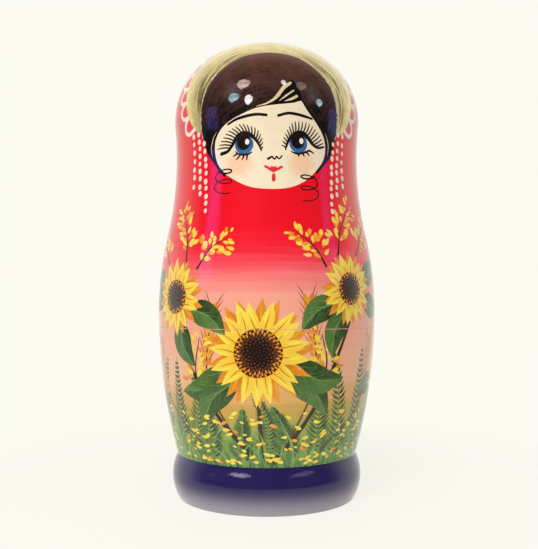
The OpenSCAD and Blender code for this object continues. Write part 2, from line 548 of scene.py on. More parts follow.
LEFT_EYE = dict(
    iris=(-14.2, 189.7),
    lid=[(-12.5, -3.9), (-8.9, -2.9), (-6.4, 0), (-4.4, 3.2), (-2.2, 5.1), (0.5, 5.7), (3.2, 4.8),
         (5.8, 2.5), (7.6, -0.1), (8.9, -3.2)],
    lid_widths=(1.9, 1.5, 2.0, 2.4, 2.0, 1.5, 0.8),
    roots=(0.2, 0.97),
    tips=[(-14.8, -1.3), (-12.8, 2.1), (-8.9, 7), (-4.6, 9), (-2, 10.4), (2.5, 9.4), (6.8, 7.4),
          (9.2, 2.9), (9.7, -1.4)],
    lower=[(-4.6, -3.3), (-2.6, -4.7), (0, -5.1), (2.4, -4.8), (3.9, -4.0)],
    lower_lashes=[((-3.5, -4.4), (-5.8, -5.6)), ((-1.9, -4.8), (-4.1, -7.5)), ((0, -4.9), (-1.1, -7.6)),
                  ((1.6, -4.9), (1.2, -7.9))],
)
RIGHT_EYE = dict(
    iris=(13.9, 190.6),
    lid=[(-6.9, -3.4), (-5.3, 1), (-3.1, 3.9), (-0.1, 5.4), (3, 4.9), (5.7, 2.8), (8.1, 0.2),
         (11.2, -1.3), (15.2, -0.4)],
    lid_widths=(0.8, 1.5, 2.0, 2.4, 2.0, 1.4, 1.0),
    roots=(0.03, 0.8),
    tips=[(-8.7, -1.4), (-7.9, 2.4), (-5.8, 6.5), (-2.8, 10.4), (1.5, 10.7), (5.1, 10.4), (8.4, 8.8),
          (11.6, 5.8), (13.3, 4.1), (14.5, 1.4)],
    lower=[(-3.9, -4.3), (-2, -5), (0.4, -5.2), (3.4, -4.4), (6.2, -3.1)],
    lower_lashes=[((-0.4, -5.2), (0.1, -6.7)), ((1.8, -4.7), (3.1, -6.4)), ((3.8, -3.9), (6.0, -5.8)),
                  ((5.5, -3.2), (8.7, -4.4))],
)
LASHES = 18
LEFT_GLEAM = [(-29.5, 197.4), (-31.8, 194.1), (-33.1, 189.4), (-32.3, 185.1)]
RIGHT_GLEAM = [(29.9, 197.5), (31.6, 193.5), (32.1, 190), (31.3, 185.6)]
FRINGE_SHADE = [(-8.2, 208.2), (0, 212.2), (5.5, 218.8), (10.2, 222.4), (13.8, 218.5), PARTING, (8, 210.8),
                (0, 209.8)]
STRANDS = [
    ([(-7.7, 208.5), (-3, 209.7), (0.8, 211.8), (3.5, 214.5), (6.5, 218.2), (9.6, 220.8)],
     (0.2, 0.8, 1.3, 1.9, 2.5, 1.4)),
    ([(3.7, 211.2), (7, 213.8), (11.1, 216.8)], (0.2, 0.9, 0.8)),
    ([(6.4, 211.1), (9.8, 212.4), (12.7, 214)], (0.2, 1.2, 1.4)),
]
NOSE = [(-1.9, 182.3), (-0.9, 182.8), (0.1, 183.5), (0.9, 182.5), (1.7, 182.4), (2.5, 183.5), (3.3, 182.6),
        (4.1, 182.6), (5.2, 184.0)]
LEFT_BROW = [(-22.9, 200.4), (-18.4, 202.5), (-13.1, 203.8), (-7.8, 204.5), (-2.8, 204.1)]
RIGHT_BROW = [(3.3, 203.9), (8.5, 205.3), (13.7, 204.9), (17.9, 204.2), (21.3, 203.5)]
MOUTH = (0.8, 176.1)
BLUSH_SPOTS = [(-17.1, 180.3), (15.3, 180.5)]


def paint_face(brush, fineness):
    outline = np.vstack([smooth(FRINGE), smooth(CHIN)[1:], smooth(TEMPLE)[::-1][1:-1]])
    brush.patch("skin", outline, 0.5)

    # Locks of hair beside the face, each with a gleam
    for lock, gleam in ((FRINGE[4:], LEFT_GLEAM), (TEMPLE, RIGHT_GLEAM)):
        edge = smooth(lock)
        way, left = sides_of(edge)
        out = left if lock is TEMPLE else -left
        brush.line("black", edge + 0.7 * out, (0.6, 1.5, 1.9, 1.4), 0.05, per=1)
        brush.line("straw", gleam, (0.1, 0.5, 0.45, 0.1), 0.4)

    # Parted fringe with light strands
    brush.patch("hair", smooth(FRINGE_SHADE, closed=True), 0.0)
    brush.line("black", [(-16, 205.4), (-7, 208.4), (2, 210), (9, 211), PARTING], (0.4, 1.2, 1.6, 1.2), 0.05)
    for points, widths in STRANDS:
        brush.line("straw", points, widths, 0.75, 0.45)
    brush.line("hair", [(4.4, 214.2), (7.2, 217.4), (10.6, 220.2)], (0.2, 0.7, 0.5), 0.0)

    for brow in (LEFT_BROW, RIGHT_BROW[::-1]):
        brush.line("black", brow, (1.1, 1.5, 1.5, 1.4), 0.1)
    paint_eye(brush, fineness=fineness, **LEFT_EYE)
    paint_eye(brush, fineness=fineness, **RIGHT_EYE)

    # Nose as a little wave, and mouth
    brush.line("black", NOSE, (1.3, 0.85, 0.9, 0.85, 0.7), 0.2)
    mouth = np.array(MOUTH)
    for tip in ((-4.0, 2.4), (4.2, 2.2)):
        brush.line("lips", mouth + [(0, 0.3), (0.5 * tip[0], 0.5 * tip[1]), tip], (2.0, 1.4, 1.4), 0.4, 0.6)
    for across in (-1.0, 0.05, 1.1):
        brush.line("lips", mouth + [(0, 0.2), (0.9 * across, 1.4), (across, 2.0)], (1.8, 1.2, 1.1), 0.5)
    brush.line("lips", mouth + [(0.1, -1.9), (0.1, -3.2), (0.05, -4.4)], (1.7, 1.9, 2.0), 0.45)


def paint_curls(brush):
    """Locks that coil down in front of the ears."""
    for side, middle, start, pitch in ((1, -25.2, 176.7, 5.2), (-1, 19.5, 173.8, 5.7)):
        phase = np.linspace(-0.75 * math.pi, 3.8 * math.pi, 64)
        reach = 4.5 + 0.15 * phase / math.pi
        across = middle + side * reach * np.cos(phase)
        up = start - pitch * phase / (2 * math.pi) + 2.2 * np.sin(phase)
        brush.line("black", np.column_stack([across, up]), (1.0, 0.75, 0.68, 0.62, 0.5), 0.1, per=2)


def paint_beads(brush):
    for start, end, count in BEADS:
        for side in (-1, 1):
            for k in range(count):
                spot = np.array(start) + (np.array(end) - start) * k / (count - 1)
                spot += (brush.chance.uniform(-0.3, 0.3), brush.chance.uniform(-0.4, 0.4))
                size = brush.chance.uniform(0.88, 1.1)
                spot = spot * (side, 1) + (BEADS_BACK, 0)
                brush.patch("white", oval(spot, 1.1 * size, 1.4 * size, 12), 0.6)


# Flowers, in true lengths round their middle

GOLDEN_ANGLE = math.pi * (3 - math.sqrt(5))


def sunflower(seed, radius, petals, seeds):
    brush = Brush(seed)
    heart = 0.42 * radius
    for ring, (pigment, reach, tone) in enumerate((("amber", 1.0, 0.15), ("yellow", 0.92, 0.3))):
        for k in range(petals):
            turn = 2 * math.pi * (k + 0.5 * ring + brush.chance.uniform(-0.12, 0.12)) / petals
            way = np.array([math.cos(turn), math.sin(turn)])
            left = np.array([-way[1], way[0]])
            side = left * brush.chance.uniform(-0.06, 0.06) * radius
            length = reach * radius * brush.chance.uniform(0.92, 1.03)
            width = 2 * math.pi * radius * 0.68 / petals * brush.chance.uniform(0.85, 1.05)
            points = [0.8 * heart * way, 0.6 * length * way + side, length * way + 1.6 * side]
            brush.line(pigment, points, (0.7 * width, width, 0.85 * width, 0.05), tone, tone + 0.55)
            fold = [1.0 * heart * way, 0.62 * length * way + side, 0.84 * length * way + 1.4 * side]
            brush.line("amber", fold, (0.5, 0.6, 0.1), 0.12, 0.5, per=2)
            light = 0.12 * width * left
            gleam = [0.55 * length * way - side + light, 0.86 * length * way + side + light]
            brush.line(pigment, gleam, (0.1, 0.22 * width, 0.1), tone + 0.7, per=3)
    brush.patch("brown", oval((0, 0), heart, heart, 36), 0.25)
    brush.patch("brown", oval((0, 0), 0.62 * heart, 0.62 * heart, 26), 0.02)
    for k in range(seeds):
        share = math.sqrt((k + 0.5) / seeds)
        turn = k * GOLDEN_ANGLE
        spot = 0.97 * heart * share * np.array([math.cos(turn), math.sin(turn)])
        size = 0.052 * radius * (0.55 + 0.45 * share) * math.sqrt(110 / seeds)
        if share > 0.78:
            brush.dab("amber", spot, 1.5 * size, 0.85 * size, turn, 0.2, 0.8)
        elif share > 0.4:
            brush.patch("brown", oval(spot, 0.42 * size, 0.42 * size, 7), 0.85)
        else:
            brush.patch("brown", oval(spot, 0.36 * size, 0.36 * size, 6), 0.5)
    return brush


def leaf(brush, points, width, veins=4):
    """Leaf along a midrib, with a dark half, a light half and veins."""
    rib = smooth(points, per=5)
    share = np.linspace(0, 1, len(rib))
    half = (width / 2 * np.sin(math.pi * share ** 0.75) ** 0.85)[:, None]
    way, left = sides_of(rib)
    axis = (rib[0], rib[-1])
    brush.patch("leaf", np.vstack([rib, (rib + half * left)[::-1][1:-1]]), 0.1, 0.4, axis)
    brush.patch("leaf", np.vstack([rib, (rib - half * left)[::-1][1:-1]]), 0.35, 0.75, axis)
    for k in range(veins):
        start = 0.16 + 0.6 * k / veins
        place = int(start * (len(rib) - 1))
        end = min(place + 3, len(rib) - 2)
        for side, tone in ((1, 0.55), (-1, 0.95)):
            tip = rib[end] + 0.72 * side * half[end] * left[end]
            brush.line("leaf", [rib[place], (rib[place] + tip) / 2 + 0.3 * way[place], tip], (0.5, 0.4, 0.1),
                       tone, per=2)
    brush.line("leaf", rib, (0.9, 0.7, 0.2), 0.95, per=1)


def sprig(brush, points, dabs, size):
    """Dark twig with small golden leaves on both sides."""
    twig = smooth([on_sheet(*p) for p in points], per=6)
    brush.line("brown", twig, (1.1, 0.8, 0.4), 0.1, 0.4, per=1)
    for k in range(dabs):
        share = 0.16 + 0.84 * (k + 0.5) / dabs
        place, way, _ = along(twig, share)
        side = 1 if k % 2 else -1
        reach = size * (1.25 - 0.5 * share) * brush.chance.uniform(0.7, 1.25)
        turn = math.atan2(way[1], way[0]) + side * brush.chance.uniform(0.5, 1.15)
        away = np.array([math.cos(turn), math.sin(turn)])
        spot = place + away * reach * brush.chance.uniform(0.6, 2.4)
        pigment = "yellow" if brush.chance.random() < 0.68 else "amber"
        tone = brush.chance.uniform(0.25, 0.6)
        brush.dab(pigment, spot, reach, 0.6 * reach, turn + math.pi * (k % 3 == 0), tone, tone + 0.35)


def frond(brush, points, pairs, reach):
    """Feathery dark green frond."""
    rib = smooth([on_sheet(*p) for p in points], per=6)
    for k in range(pairs):
        share = 0.08 + 0.9 * k / pairs
        root, way, left = along(rib, share)
        length = reach * (1.08 - share) * brush.chance.uniform(0.85, 1.15)
        for side in (-1, 1):
            out = (0.75 * way + side * 0.8 * left) * length
            middle = root + 0.5 * out - 0.1 * length * way
            tone = brush.chance.uniform(0.0, 0.25) + (0.25 if side > 0 else 0.0)
            widths = (0.6, 0.14 * reach + 0.4, 0.1)
            brush.line("leaf", [root, middle, root + out], widths, tone, tone + 0.4, per=2)
    brush.line("leaf", rib, (1.0, 0.8, 0.3), 0.6, 0.9, per=1)


def ear(brush, points, grains):
    """Ripe ear of wheat on its stalk, with its awns."""
    stalk = smooth([on_sheet(*p) for p in points], per=6)
    brush.line("brown", stalk, (1.1, 0.9, 0.6), 0.5, 0.8, per=1)
    for k in range(grains):
        place, way, left = along(stalk, 0.6 + 0.4 * k / (grains - 1))
        for side in (-1, 1):
            turn = math.atan2(way[1], way[0]) + 0.42 * side
            out = np.array([math.cos(turn), math.sin(turn)])
            spot = place + side * 0.9 * left + 1.2 * out
            brush.line("brown", [spot, spot + 4.5 * out, spot + 8 * out], (0.5, 0.4, 0.1), 0.7, 0.95, per=1)
            tone = brush.chance.uniform(0.05, 0.5)
            brush.dab("amber", spot, 4.6, 2.4, turn + math.pi, tone, tone + 0.4)


def on_sheet(degrees, up):
    return HEAD_R * math.radians(degrees), up


# Each flower: degrees round from the front, up, radius, petals, seeds and the ways its leaves point
FLOWERS = [
    (-4, 85, 29, 17, 150, (205, 232, 318, 344)),
    (45, 117, 20, 14, 80, (-15, 30, 250, 215)),
    (-51, 113, 21, 14, 80, (190, 150, 292, 330)),
    (178, 92, 27, 16, 120, (200, 340, 232, 305)),
    (121, 113, 18, 13, 60, (-10, 40, 200, 262)),
    (-124, 109, 19, 13, 60, (170, 215, 330, 270)),
    (83, 71, 15, 12, 50, (-20, 200, 250)),
    (-90, 68, 15, 12, 50, (190, 330, 285)),
]
# Each sprig: places in degrees and up, and its number of leaves
SPRIGS = [
    ([(38, 134), (42, 147), (52, 160)], 26),
    ([(52, 134), (62, 146), (74, 155)], 24),
    ([(30, 128), (24, 138), (15, 145)], 18),
    ([(-44, 131), (-46, 145), (-54, 158)], 26),
    ([(-60, 130), (-70, 142), (-82, 150)], 24),
    ([(-36, 127), (-29, 137), (-20, 142)], 18),
    ([(126, 130), (122, 146), (112, 160)], 26),
    ([(-130, 126), (-124, 144), (-114, 158)], 26),
    ([(172, 118), (164, 142), (150, 160)], 28),
    ([(-176, 118), (-170, 142), (-156, 160)], 28),
    ([(86, 84), (92, 102), (90, 122)], 22),
    ([(-94, 82), (-100, 100), (-96, 122)], 22),
    ([(22, 62), (30, 78), (27, 94)], 20),
    ([(-30, 60), (-37, 74), (-34, 92)], 20),
]
# Each ear of wheat: places in degrees and up
EARS = [
    [(12, 40), (24, 72), (20, 112)],
    [(-16, 40), (-30, 70), (-26, 108)],
    [(30, 34), (58, 58), (64, 92)],
    [(-34, 34), (-62, 58), (-70, 90)],
    [(98, 34), (104, 60), (102, 96)],
    [(-102, 34), (-110, 60), (-108, 92)],
    [(160, 40), (150, 72), (152, 116)],
    [(-160, 40), (-148, 72), (-150, 114)],
]
FRONDS = 26
# Stems: places in degrees and up
STEMS = [
    [(0, 29), (-3, 44), (-4, 60)],
    [(4, 29), (24, 56), (44, 100)],
    [(-5, 29), (-28, 56), (-50, 96)],
    [(180, 29), (179, 48), (178, 70)],
    [(174, 29), (150, 60), (122, 98)],
    [(-176, 29), (-150, 60), (-125, 94)],
    [(78, 29), (80, 42), (83, 60)],
    [(-86, 29), (-89, 42), (-90, 58)],
]


def paint_bouquet(brush, fineness):
    for k in range(FRONDS):
        degrees = 360 * (k + brush.chance.uniform(-0.2, 0.2)) / FRONDS - 180
        lean = brush.chance.uniform(-13, 13)
        height = brush.chance.uniform(26, 46) + (18 if abs(degrees) > 24 else 0)
        points = [(degrees, 27), (degrees + 0.2 * lean, 27 + 0.55 * height), (degrees + lean, 27 + height)]
        frond(brush, points, int(7 + 13 * fineness), 10)
    for points in EARS:
        ear(brush, points, 8 if fineness == 1 else 6)
    for stem in STEMS:
        brush.line("brown", [on_sheet(*p) for p in stem], (2.4, 1.9, 1.5), 0.05, 0.3)
    for points, dabs in SPRIGS:
        sprig(brush, points, int(1.8 * dabs * (0.3 + 0.7 * fineness)), 3.3 if fineness == 1 else 3.8)
    for number, (degrees, up, radius, petals, seeds, ways) in enumerate(FLOWERS):
        angle = math.radians(degrees)
        leaves = Brush(number)
        for way in ways:
            turn = math.radians(way)
            out = np.array([math.cos(turn), math.sin(turn)])
            droop = np.array([-out[1], out[0]]) * radius * leaves.chance.choice((-0.16, 0.16))
            root = 0.6 * radius * out
            tip = (1.3 + 11 / radius) * radius * out
            leaf(leaves, [root, (root + tip) / 2 + droop, tip], 9 + 0.22 * radius, 4 if fineness == 1 else 2)
        brush.place(leaves, angle, up)
        motif = sunflower(20 + number, radius, petals, max(18, int(seeds * fineness)))
        brush.place(motif, angle, up, turn=0.3 * number)


MEADOW_UP = OUTER_UP - sum(run.length for run in SOLID_RUNS[:6]) + 0.4
BLADES = 190
FALLEN_PETALS = 420


def paint_meadow(brush, fineness):
    """Blades of grass and fallen petals round the foot of the doll."""
    blades = int(BLADES * fineness)
    for k in range(blades):
        degrees = 360 * (k + brush.chance.uniform(-0.4, 0.4)) / blades - 180
        height = brush.chance.uniform(7, 21)
        lean = brush.chance.uniform(-9, 9)
        points = [(degrees, MEADOW_UP), (degrees + 0.3 * lean, MEADOW_UP + 0.6 * height),
                  (degrees + lean, MEADOW_UP + height)]
        tone = brush.chance.uniform(0.0, 0.55)
        brush.line("grass", [on_sheet(*p) for p in points], (1.5, 1.3, 0.1), tone, tone + 0.4, per=3)
    for k in range(int(FALLEN_PETALS * fineness)):
        degrees = brush.chance.uniform(-179, 179)
        up = MEADOW_UP + 1.5 + 27 * brush.chance.random() ** 1.3
        length = brush.chance.uniform(1.8, 3.6)
        pigment = "yellow" if brush.chance.random() < 0.8 else "amber"
        tone = brush.chance.uniform(0.3, 0.7)
        turn = brush.chance.uniform(-0.6, 0.6) + math.pi * (k % 2)
        brush.dab(pigment, on_sheet(degrees, up), length, 0.58 * length, turn, tone, tone + 0.25)


def paint_doll(fineness):
    """All strokes on one doll: the smaller the doll, the fewer they are."""
    brush = Brush(1)
    paint_bouquet(brush, fineness)
    paint_meadow(brush, fineness)
    head = Brush(101)
    paint_gold(head, fineness)
    paint_hair(head, fineness)
    paint_face(head, fineness)
    paint_curls(head)
    paint_beads(head)
    for stroke in head.strokes:
        brush.strokes.append(stroke._replace(outline=stroke.outline + (FACE_TURN, 0),
                                             axis=stroke.axis + (FACE_TURN, 0)))
    return brush.strokes


# Meshes

NEAR = 1e-4


def clipped(outline, low, high):
    """The part of an outline that lies in a box, or an empty list."""
    for axis in (0, 1):
        for sign, limit in ((1, high[axis]), (-1, -low[axis])):
            depth = limit - sign * outline[:, axis] if len(outline) else np.zeros(0)
            if (depth >= 0).all():
                continue
            kept = []
            for k in range(len(outline)):
                a, b = depth[k - 1], depth[k]
                if (a >= 0) != (b >= 0):
                    kept.append(outline[k - 1] + (outline[k] - outline[k - 1]) * a / (a - b))
                if b >= 0:
                    kept.append(outline[k])
            outline = np.array(kept)
            if len(outline) < 3:
                return []
    steps = np.linalg.norm(outline - np.roll(outline, 1, axis=0), axis=1)
    return outline[steps > 10 * NEAR]


def divided(outline, pitch):
    """An outline with points added on its long sides, so that they follow the round surface."""
    pieces = []
    for start, end in zip(outline, np.roll(outline, -1, axis=0)):
        count = max(1, math.ceil(np.linalg.norm(end - start) / pitch))
        pieces.append(start + (end - start) * np.arange(count)[:, None] / count)
    return np.vstack(pieces)


def cut_sheet(skin, strokes, fine, coarse):
    """Triangles of the sheet, cut along every stroke, with the topmost stroke on each of them."""
    points, edges = skin.grid(fine, coarse)
    low = (-HALF_TURN, skin.low)
    high = (HALF_TURN, skin.high)
    faces = []
    owners = []
    boxes = []
    for number, stroke in enumerate(strokes):
        for shift in (-2 * HALF_TURN, 0, 2 * HALF_TURN):
            outline = stroke.outline + (shift, 0)
            if (outline.min(0) >= high).any() or (outline.max(0) <= low).any():
                continue
            outline = clipped(outline, low, high)
            if len(outline) < 3:
                continue
            outline = divided(outline, fine)
            faces.append(list(range(len(points), len(points) + len(outline))))
            points += [tuple(p) for p in outline]
            owners.append((number, shift))
            boxes.append((*outline.min(0), *outline.max(0)))
    cut = delaunay_2d_cdt([Vector(p) for p in points], edges, faces, 0, NEAR, True)
    sheet = np.array(cut[0], float)
    triangles = np.array(cut[2])
    middles = sheet[triangles].mean(axis=1)
    tops = []
    for (u, up), found in zip(middles, cut[5]):
        top = -1
        for face in sorted(found, reverse=True):
            box = boxes[face]
            if box[0] <= u <= box[2] and box[1] <= up <= box[3]:
                top = face
                break
        tops.append(top)
    return sheet, triangles, np.array(tops), owners


def welded(sheet, places, skin):
    """New vertex numbers that join the sheet's two edges and gather the points on the axis."""
    joined = np.arange(len(sheet))
    for end in (skin.ups[0], skin.ups[-1]):
        on_axis = np.flatnonzero(np.abs(sheet[:, 1] - end) < 10 * NEAR)
        joined[on_axis] = on_axis[0]
    left = np.flatnonzero((sheet[:, 0] < 10 * NEAR - HALF_TURN) & (joined == np.arange(len(sheet))))
    right = np.flatnonzero((sheet[:, 0] > HALF_TURN - 10 * NEAR) & (joined == np.arange(len(sheet))))
    tree = KDTree(len(left))
    for k in left:
        tree.insert(places[k], k)
    tree.balance()
    for k in right:
        match = tree.find(places[k])
        if match[2] < 100 * NEAR:
            joined[k] = match[1]
    return joined


def make_mesh(name, skin, strokes, fine, coarse):
    """Closed mesh of a piece, with a material for each pigment and a tone at each corner."""
    sheet, triangles, tops, owners = cut_sheet(skin, strokes, fine, coarse)
    outline, _ = skin.outline(sheet[:, 1], skin.run_at(sheet[:, 1]))
    angle = sheet[:, 0] / HEAD_R
    places = np.column_stack([outline[:, 0] * np.sin(angle), -outline[:, 0] * np.cos(angle), outline[:, 1]])
    joined = welded(sheet, places, skin)
    corners = joined[triangles]
    whole = (corners != np.roll(corners, 1, axis=1)).all(axis=1)
    triangles, tops, corners = triangles[whole], tops[whole], corners[whole]
    runs = skin.run_at(sheet[triangles][:, :, 1].mean(axis=1))

    used, corners = np.unique(corners, return_inverse=True)
    corners = corners.reshape(-1, 3)
    mesh = bpy.data.meshes.new(name)
    mesh.from_pydata((places[used] * MM).tolist(), [], corners.tolist())
    mesh.shade_smooth()

    # Pigments and tones
    names = list(MATERIALS)
    for pigment in names:
        mesh.materials.append(MATERIALS[pigment])
    finish = np.array([names.index(run.finish) for run in skin.runs])[runs]
    tone = np.full(triangles.shape, 0.5)
    bare = np.array([run.finish not in BRUSHED for run in skin.runs])[runs]
    here = (tops >= 0) & ~bare
    number, shift = np.array(owners)[tops[here]].T
    number = number.astype(int)
    finish[here] = np.array([names.index(stroke.pigment) for stroke in strokes])[number]
    axes = np.array([stroke.axis for stroke in strokes])[number]
    tones = np.array([stroke.tones for stroke in strokes])[number]
    way = axes[:, 1] - axes[:, 0]
    away = sheet[triangles[here]] - axes[:, None, 0] - np.column_stack([shift, 0 * shift])[:, None]
    share = np.einsum("tcx,tx->tc", away, way) / np.maximum(np.einsum("tx,tx->t", way, way), 1e-9)[:, None]
    tone[here] = tones[:, :1] + (tones[:, 1:] - tones[:, :1]) * np.clip(share, 0, 1)
    mesh.polygons.foreach_set("material_index", finish.astype(np.int32))
    attribute = mesh.attributes.new("tone", "FLOAT", "CORNER")
    attribute.data.foreach_set("value", tone.ravel().astype(np.float32))

    # Flat layout for baking, which gives the front more room than the back
    flat = sheet[triangles].reshape(-1, 2)
    turn = flat[:, 0] / HALF_TURN
    across = 0.5 + 0.5 * turn * 2.5 / (1 + 1.5 * np.abs(turn))
    layer = mesh.uv_layers.new(name="OFBake")
    band = np.interp(-flat[:, 1], -skin.ups, skin.bands)
    layer.uv.foreach_set("vector", np.column_stack([across, band]).ravel().astype(np.float32))

    # Normals of the true outline
    _, normals = skin.outline(flat[:, 1], np.repeat(runs, 3))
    angle = flat[:, 0] / HEAD_R
    normals = np.column_stack([normals[:, 0] * np.sin(angle), -normals[:, 0] * np.cos(angle), normals[:, 1]])
    mesh.normals_split_custom_set(normals.tolist())
    return mesh


# Materials

def srgb(red, green, blue):
    """Colour for a shader from the usual 0 to 255 values."""
    levels = [c / 255 for c in (red, green, blue)]
    return (*[c / 12.92 if c <= 0.04045 else ((c + 0.055) / 1.055) ** 2.4 for c in levels], 1.0)


def node(tree, kind, inputs=None, **settings):
    """New shader node with its settings, and its inputs linked or set."""
    made = tree.nodes.new("ShaderNode" + kind)
    for key, value in settings.items():
        setattr(made, key, value)
    for key, value in (inputs or {}).items():
        if isinstance(value, bpy.types.NodeSocket):
            tree.links.new(value, made.inputs[key])
        else:
            made.inputs[key].default_value = value
    return made


def new_object(name, data):
    made = bpy.data.objects.new(name, data)
    bpy.context.scene.collection.objects.link(made)
    return made


def new_tree(name):
    material = bpy.data.materials.new(name)
    material.use_nodes = True
    material.node_tree.nodes.clear()
    return material, material.node_tree


def object_place(tree):
    return node(tree, "TexCoord").outputs["Object"]


def noise(tree, place, scale, stretch=(1, 1, 1), detail=3.0):
    """Noise in doll coordinates, stretched along the axes."""
    mapped = node(tree, "Mapping", {"Vector": place, "Scale": stretch}).outputs["Vector"]
    return node(tree, "TexNoise", {"Vector": mapped, "Scale": scale, "Detail": detail}).outputs["Fac"]


def sum_of(tree, base, *parts):
    """A socket plus shares of noises about their middle."""
    for part, share in parts:
        swing = node(tree, "Math", {0: part, 1: share, 2: -0.5 * share}, operation="MULTIPLY_ADD")
        base = node(tree, "Math", {0: base, 1: swing.outputs[0]}, operation="ADD").outputs[0]
    return base


def blend(tree, factor, first, second):
    return node(tree, "Mix", {"Factor": factor, 6: first, 7: second}, data_type="RGBA").outputs[2]


def ease(tree, value, start, end):
    """Smooth rise from 0 at the start to 1 at the end."""
    return node(tree, "MapRange", {"Value": value, "From Min": start, "From Max": end},
                interpolation_type="SMOOTHSTEP").outputs[0]


def product(tree, first, *others):
    for other in others:
        first = node(tree, "Math", {0: first, 1: other}, operation="MULTIPLY").outputs[0]
    return first


def mixed(tree, factor, first, second):
    """Mix of two shader nodes."""
    return node(tree, "MixShader", {0: factor, 1: first.outputs[0], 2: second.outputs[0]})


def show(tree, shader, kind="OutputMaterial"):
    """Make a shader node the surface of its material or world."""
    tree.links.new(shader.outputs[0], node(tree, kind).inputs["Surface"])


def lacquer(tree, colour, place, relief, metallic=0.0, least=0.34, most=0.52):
    """Paint under a clear gloss coat that is not quite even."""
    fine = noise(tree, place, 700, detail=4)
    slow = noise(tree, place, 55, detail=2)
    rough = node(tree, "MapRange", {"Value": fine, "To Min": least, "To Max": most}).outputs[0]
    grain = node(tree, "Bump", {"Height": relief, "Strength": 0.35, "Distance": 0.0002}).outputs[0]
    waves = node(tree, "Bump", {"Height": slow, "Strength": 0.22, "Distance": 0.0006}).outputs[0]
    shader = node(tree, "BsdfPrincipled", {
        "Base Color": colour, "Roughness": rough, "Metallic": metallic, "Normal": grain,
        "Specular IOR Level": 0.05, "Coat Weight": 1.0, "Coat Roughness": 0.03, "Coat IOR": 1.5,
        "Coat Normal": waves,
    })
    show(tree, shader)


def pigment(name, dark, light, metallic=0.0, least=0.34, most=0.52):
    """Brushed paint between two colours, chosen by the tone of the stroke and by the drag of the hairs."""
    material, tree = new_tree(name)
    place = object_place(tree)
    tone = node(tree, "Attribute", attribute_name="tone").outputs["Fac"]
    cloud = noise(tree, place, 210)
    hairs = noise(tree, place, 900, detail=2)
    shade = sum_of(tree, tone, (cloud, 0.5), (hairs, 0.35))
    lacquer(tree, blend(tree, shade, srgb(*dark), srgb(*light)), place, hairs, metallic, least, most)
    return material


def skin_paint(name):
    """Face paint with a rub of pink on the cheeks."""
    material, tree = new_tree(name)
    place = object_place(tree)
    cloud = noise(tree, place, 260)
    base = blend(tree, cloud, srgb(247, 226, 190), srgb(253, 238, 209))
    for across, up in BLUSH_SPOTS:
        angle = (across + FACE_TURN) / HEAD_R
        point, _ = SOLID_SKIN.outline(np.array([up]), SOLID_SKIN.run_at([up]))
        radius, height = point[0] * MM
        spot = (radius * math.sin(angle), -radius * math.cos(angle), height)
        away = node(tree, "VectorMath", {0: place, 1: spot}, operation="DISTANCE").outputs["Value"]
        uneven = sum_of(tree, away, (cloud, 0.003))
        rub = product(tree, ease(tree, uneven, 0.0095, 0.003), 0.6)
        base = blend(tree, rub, base, srgb(252, 188, 144))
    lacquer(tree, base, place, noise(tree, place, 800))
    return material


# Colours of the ground from the plinth upwards, with their heights
GROUND = [(24.5, (96, 150, 72)), (34, (120, 166, 78)), (44, (150, 170, 80)), (53, (200, 166, 74)),
          (61, (232, 176, 110)), (70, (251, 190, 152)), (96, (253, 174, 144)), (110, (253, 168, 148)),
          (119, (253, 132, 128)), (128, (252, 78, 92)), (137, (248, 30, 52)), (145, (243, 12, 34)),
          (250, (236, 6, 26))]


def ground_paint(name):
    """Bands of colour that run into each other round the doll, dragged by a wide brush."""
    material, tree = new_tree(name)
    place = object_place(tree)
    height = node(tree, "SeparateXYZ", {0: place}).outputs["Z"]
    streaks = noise(tree, place, 1, (14, 14, 420), detail=5)
    sweep = noise(tree, place, 1, (9, 9, 120), detail=2)
    uneven = sum_of(tree, height, (streaks, 0.013), (sweep, 0.012))
    share = node(tree, "MapRange", {"Value": uneven, "From Min": PLINTH_H * MM, "From Max": DOLL_H * MM})
    ramp = node(tree, "ValToRGB", {"Fac": share.outputs[0]})
    stops = ramp.color_ramp.elements
    while len(stops) < len(GROUND):
        stops.new(1.0)
    for stop, (z, colour) in zip(stops, GROUND):
        stop.position = (z - PLINTH_H) / (DOLL_H - PLINTH_H)
        stop.color = srgb(*colour)
    lacquer(tree, ramp.outputs["Color"], place, streaks)
    return material


def navy_with_painted_floor_reflection(name):
    """Deep blue of the plinth, which pales towards its foot in a painted reflection of the pale floor."""
    material, tree = new_tree(name)
    place = object_place(tree)
    drag = noise(tree, place, 1, (20, 20, 900), detail=4)
    cloud = noise(tree, place, 120)
    shade = sum_of(tree, drag, (cloud, 0.6))
    navy = blend(tree, shade, srgb(26, 17, 66), srgb(46, 36, 98))
    height = node(tree, "SeparateXYZ", {0: place}).outputs["Z"]
    # Painted reflection: the blue turns pale lilac grey towards the foot, where the lacquer would mirror the
    # white floor
    foot = product(tree, ease(tree, height, 0.55 * PLINTH_H * MM, 0.0), 0.66)
    lacquer(tree, blend(tree, foot, navy, srgb(196, 190, 198)), place, drag)
    return material


def linden_wood(name):
    """Bare turned linden, with fibres along the axis and fine rings from the tool."""
    material, tree = new_tree(name)
    place = object_place(tree)
    fibres = noise(tree, place, 1, (420, 420, 26), detail=5)
    bands = noise(tree, place, 1, (60, 60, 5), detail=3)
    rings = noise(tree, place, 1, (10, 10, 1500), detail=2)
    shade = sum_of(tree, fibres, (bands, 0.9), (rings, 0.25))
    colour = blend(tree, shade, srgb(206, 168, 116), srgb(240, 212, 166))
    rough = node(tree, "MapRange", {"Value": fibres, "To Min": 0.48, "To Max": 0.7}).outputs[0]
    grain = sum_of(tree, rings, (fibres, 0.8))
    bump = node(tree, "Bump", {"Height": grain, "Strength": 0.3, "Distance": 0.0002}).outputs[0]
    shader = node(tree, "BsdfPrincipled", {"Base Color": colour, "Roughness": rough, "Normal": bump,
                                           "Specular IOR Level": 0.35})
    show(tree, shader)
    return material


